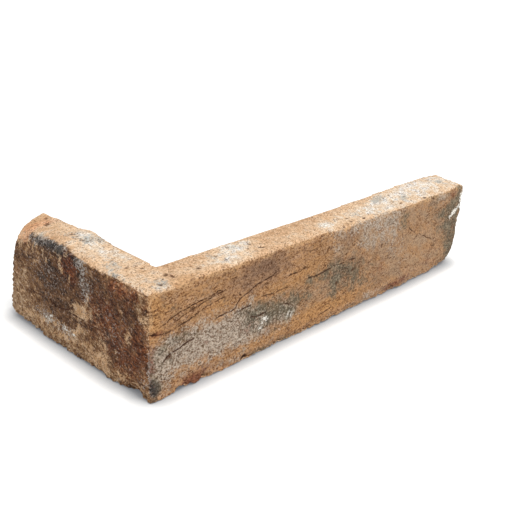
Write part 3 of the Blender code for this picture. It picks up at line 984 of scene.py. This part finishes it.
    def strength(self):
        """How much the grain shows: most on the header, less on the beds, least on the sawn faces."""
        t = self.t
        on_top = t.scaled(self.bedded, 0.45, t.times(self.smeared, 0.6))
        calm = t.scaled(self.flaked, 1.1, t.larger(t.times(self.sawn, 1.3), on_top))
        patchy = t.between(self.blotch, 0.36, 0.62, 0.75, 1.2)
        return t.scaled(calm, -0.6, t.times(t.scaled(self.header, 0.4, 1.12), patchy))

    def grained(self, colour, strength):
        """The colour with its sand: every grain a little lighter or darker, some of them dark or pale."""
        t = self.t
        few_dark = t.maths("POWER", self.fine, 3.5)
        dark = t.times(t.plus(few_dark, t.between(self.worm, 0.46, 0.36, 0.0, 0.5)), strength)
        lighter = t.brighter(colour, t.between(self.worm, 0.5, 0.7, 1.17, 1.40))
        colour = t.mix(dark, lighter, t.tinted(colour, GRAIN_TINT))
        often = t.scaled(t.larger(self.lime, self.soot), 0.12, t.scaled(self.header, 0.04, 0.03))
        chosen = t.maths("LESS_THAN", self.sand_chance, often)
        dark = t.times(t.times(chosen, t.between(self.sand_out, 0.38, 0.22)), t.times(strength, 0.75))
        colour = t.mix(dark, colour, DARK_GRAIN)
        chosen = t.maths("GREATER_THAN", self.fine_chance, 0.95)
        return t.mix(t.times(chosen, t.scaled(self.header, 0.03, 0.1)), colour, PALE_GRAIN)

    def colour(self, strength):
        """Each face's own colour, the stains over it, then mortar, grain, and painted shade in the pits
        and cracks.
        """
        t = self.t
        skin = t.cover(t.larger(self.header, self.char), self.blotch, spread=0.5, soft=0.2)
        bed = t.cover(t.maths("SUBTRACT", self.bedded, self.char), self.blotch, spread=0.6)
        colour = t.mix(skin, self.stretcher_colour(), self.header_colour())
        colour = self.stained(t.mix(bed, colour, self.bed_colour()))
        colour = t.mix(t.between(self.sawn, 0.4, 0.6), colour, self.sawn_colour())
        flecks = t.cover(self.mortar, self.speck, spread=2, soft=0.25)
        flecks = t.times(flecks, t.between(self.mortar, 0.05, 0.3))
        colour = self.grained(t.mix(flecks, colour, MORTAR_COLOUR), strength)
        # Painted shade in the pits, pores and drag grooves.
        pit_shade = t.plus(self.hollow, t.spread(self.speck, 1.2))
        colour = t.mix(t.between(pit_shade, 0.25, 0.75, 0, 0.8), colour, PAINTED_HOLLOW_SHADE)
        # Painted shade: the cracks drawn dark along their lines, finer than the mesh.
        off_line = t.maths("ABSOLUTE", t.plus(self.across, t.spread(self.speck, 1.4)))
        crack_shade = t.times(t.between(off_line, 1.15, 0.45), t.between(self.plain, 0.05, 0.8, 0, 0.95))
        return t.mix(crack_shade, colour, PAINTED_CRACK_SHADE)

    def finish(self):
        """The shader: the colour, a dull surface, and the finest grain as a bump."""
        t = self.t
        strength = self.strength()
        height = t.times(t.scaled(self.fine, 0.5, self.speck), strength)
        bump = t.node("ShaderNodeBump", {"Height": height, "Strength": 0.7, "Distance": BUMP_DEEP * MM})
        shader = t.node("ShaderNodeBsdfPrincipled", {
            "Base Color": self.colour(strength),
            "Roughness": t.between(self.speck, 0.3, 0.7, 0.82, 0.98),
            "Specular IOR Level": 0.25,
            "Normal": bump.outputs[0],
        })
        t.node("ShaderNodeOutputMaterial", {"Surface": shader.outputs[0]})


def fired_clay():
    material = bpy.data.materials.new("fired_clay_worn")
    Clay(material).finish()
    return material


# Floor, light and camera


def seen_plainly(t):
    """1 for what the camera sees, straight, mirrored or through glass, and 0 for light on its way."""
    path = t.node("ShaderNodeLightPath").outputs
    return t.larger(path["Is Camera Ray"], t.larger(path["Is Glossy Ray"], path["Is Transmission Ray"]))


def lay_floor():
    """A white floor that keeps the slip's shadow, with a little extra shade at the slip's foot."""
    mesh = bpy.data.meshes.new("floor")
    half = FLOOR_SIDE / 2
    corners = [(-half, -half, 0), (half, -half, 0), (half, half, 0), (-half, half, 0)]
    mesh.from_pydata(corners, [], [(0, 1, 2, 3)])
    material = bpy.data.materials.new("white_floor")
    t = Tree(material)
    contact = t.node("ShaderNodeAmbientOcclusion", {"Distance": CONTACT_REACH}, samples=16)
    open_sky = t.maths("POWER", contact.outputs["AO"], CONTACT_DEPTH)
    shade = t.mix(open_sky, CONTACT_SHADE, (1, 1, 1, 1))
    lit = t.node("ShaderNodeBsdfDiffuse", {"Color": t.brighter(shade, FLOOR_SHOWN)})
    glow = t.node("ShaderNodeEmission", {"Color": shade, "Strength": FLOOR_GLOW})
    seen = t.node("ShaderNodeAddShader", {0: lit.outputs[0], 1: glow.outputs[0]})
    plain = t.node("ShaderNodeBsdfDiffuse", {"Color": FLOOR_COLOUR})
    shaders = {0: seen_plainly(t), 1: plain.outputs[0], 2: seen.outputs[0]}
    surface = t.node("ShaderNodeMixShader", shaders)
    t.node("ShaderNodeOutputMaterial", {"Surface": surface.outputs[0]})
    mesh.materials.append(material)
    added("floor", mesh)


def light_scene():
    """An even white sky, which the camera sees as plain white, and a wide sun."""
    world = bpy.data.worlds.new("sky")
    t = Tree(world)
    sky = t.node("ShaderNodeBackground", {"Color": (*SKY_COLOUR, 1), "Strength": SKY_STRENGTH})
    white = t.node("ShaderNodeBackground", {"Color": (1, 1, 1, 1)})
    shaders = {0: seen_plainly(t), 1: sky.outputs[0], 2: white.outputs[0]}
    shown = t.node("ShaderNodeMixShader", shaders)
    t.node("ShaderNodeOutputWorld", {"Surface": shown.outputs[0]})
    bpy.context.scene.world = world
    sun = bpy.data.lights.new("sun", "SUN")
    sun.energy = SUN_STRENGTH
    sun.angle = SUN_WIDE
    sun.color = SUN_COLOUR
    added("sun", sun).rotation_euler = SUN_FROM.to_track_quat("Z", "Y").to_euler()


def place_camera():
    """Stands the camera where the photograph was taken from, turned by its yaw, pitch and roll."""
    ahead = Vector((
        math.sin(CAMERA_YAW) * math.cos(CAMERA_PITCH),
        math.cos(CAMERA_YAW) * math.cos(CAMERA_PITCH),
        -math.sin(CAMERA_PITCH),
    ))
    level = Vector((math.cos(CAMERA_YAW), -math.sin(CAMERA_YAW), 0))
    upward = level.cross(ahead)
    right = level * math.cos(CAMERA_ROLL) + upward * math.sin(CAMERA_ROLL)
    up = upward * math.cos(CAMERA_ROLL) - level * math.sin(CAMERA_ROLL)
    data = bpy.data.cameras.new("camera")
    data.lens = CAMERA_LENS
    data.clip_start = 0.01
    camera = added("camera", data)
    turn = Matrix((right, up, -ahead)).transposed()
    camera.matrix_world = Matrix.Translation(CAMERA_PLACE) @ turn.to_4x4()
    bpy.context.scene.camera = camera


slip = even_copy("worn_corner_slip", frame["nodes"][NODE], VOXEL)
wear_surface(slip)
thin_out(slip, MOST_TRIANGLES)
slip.data.materials.append(fired_clay())
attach(slip, "root")
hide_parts(NODE)

lay_floor()
light_scene()
place_camera()
bpy.context.scene.view_settings.view_transform = "Standard"
